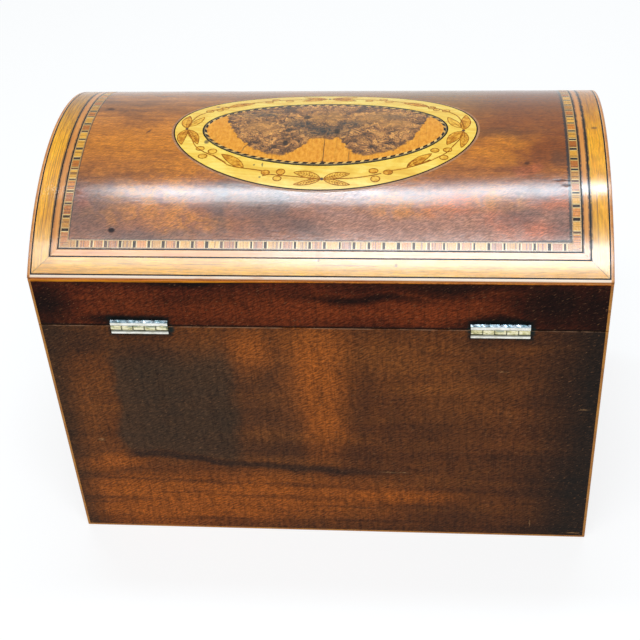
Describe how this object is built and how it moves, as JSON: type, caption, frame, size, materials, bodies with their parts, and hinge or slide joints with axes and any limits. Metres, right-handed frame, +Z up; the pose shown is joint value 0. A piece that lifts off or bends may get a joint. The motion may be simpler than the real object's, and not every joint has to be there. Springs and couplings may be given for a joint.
{
  "type": "antique tea caddy",
  "caption": "Dome-topped wooden tea caddy with a hinged, locking lid over lined compartments with lift-off inner lids, banded and inlaid with an oval medallion.",
  "frame": {"origin": "middle of the resting face, on the surface the caddy stands on", "axes": "+Z up; the lock and keyhole face -Y and the hinges +Y; +X is to the right as seen from the lock side"},
  "size_m": [0.19, 0.1138, 0.1449],
  "materials": {
    "carcase_wood": "bare close-grained board, glued up",
    "mahogany_veneer": "polished dark mahogany veneer",
    "boxwood": "polished boxwood string",
    "ebony": "polished ebony line",
    "satinwood": "polished satinwood crossband",
    "pink_boxwood": "polished pinkish boxwood band",
    "chequer_stringing": "polished chequered stringing of pale and dark woods",
    "tulipwood": "polished tulipwood line",
    "holly": "polished yellowed holly, pen-shaded",
    "burr": "polished burr veneer with orange sapwood",
    "bone": "turned and polished bone",
    "tin_foil": "dull tin-lead foil",
    "lock_brass": "old cast and filed brass",
    "spring_steel": "blued spring steel",
    "plated_hinge": "worn silvered plating on brass"
  },
  "bodies": {
    "case": {"bottom_board": "carcase_wood", "front_board": "carcase_wood", "back_board": "carcase_wood", "left_board": "carcase_wood", "right_board": "carcase_wood", "partition": "carcase_wood", "compartment_ledges": "carcase_wood", "front_veneer": "mahogany_veneer", "back_veneer": "mahogany_veneer", "left_veneer": "mahogany_veneer", "right_veneer": "mahogany_veneer", "rim_facings": "mahogany_veneer", "corner_strings": "boxwood", "base_strings": "boxwood", "escutcheon": "bone", "foil_linings": "tin_foil", "lock_plate": "lock_brass", "lock_cap": "lock_brass", "key_pin": "lock_brass", "lock_screws": "lock_brass", "lock_spring": "spring_steel", "hinge_case_leaves": "plated_hinge", "hinge_pins": "plated_hinge", "hinge_case_screws": "plated_hinge"},
    "lid": {"lid_front_rail": "carcase_wood", "lid_back_rail": "carcase_wood", "lid_left_end": "carcase_wood", "lid_right_end": "carcase_wood", "dome_board": "carcase_wood", "lid_front_veneer": "mahogany_veneer", "lid_back_veneer": "mahogany_veneer", "lid_left_veneer": "mahogany_veneer", "lid_right_veneer": "mahogany_veneer", "lid_corner_strings": "boxwood", "arris_strings": "boxwood", "ebony_line_outer": "ebony", "satinwood_band": "satinwood", "ebony_line_middle": "ebony", "boxwood_band": "pink_boxwood", "ebony_line_inner": "ebony", "chequer_band": "chequer_stringing", "dome_field": "mahogany_veneer", "oval_tulipwood_line": "tulipwood", "oval_ebony_line": "ebony", "oval_border": "holly", "panel_ebony_line": "ebony", "panel_white_line": "holly", "panel_chequer_string": "chequer_stringing", "burr_panel": "burr", "link_plate": "lock_brass", "link_staple": "lock_brass", "link_screws": "lock_brass", "hinge_lid_leaves": "plated_hinge", "hinge_lid_screws": "plated_hinge"},
    "inner_lid_left": {"inner_lid_left": "mahogany_veneer", "knob_left": "bone"},
    "inner_lid_right": {"inner_lid_right": "mahogany_veneer", "knob_right": "bone"},
    "lock_bolt": {"lock_bolt": "lock_brass"}
  },
  "joints": [
    {"name": "lid_hinge", "type": "hinge", "parent": "case", "child": "lid", "pos_m": [0, 0.0564, 0.1035], "axis": [-1, 0, 0], "range_deg": [0, 95]},
    {"name": "inner_lid_left_lift", "type": "slide", "parent": "case", "child": "inner_lid_left", "axis": [0, 0, 1], "range_m": [0, 0.02]},
    {"name": "inner_lid_right_lift", "type": "slide", "parent": "case", "child": "inner_lid_right", "axis": [0, 0, 1], "range_m": [0, 0.02]},
    {"name": "lock_bolt_slide", "type": "slide", "parent": "case", "child": "lock_bolt", "axis": [1, 0, 0], "range_m": [0, 0.0045]}
  ]
}
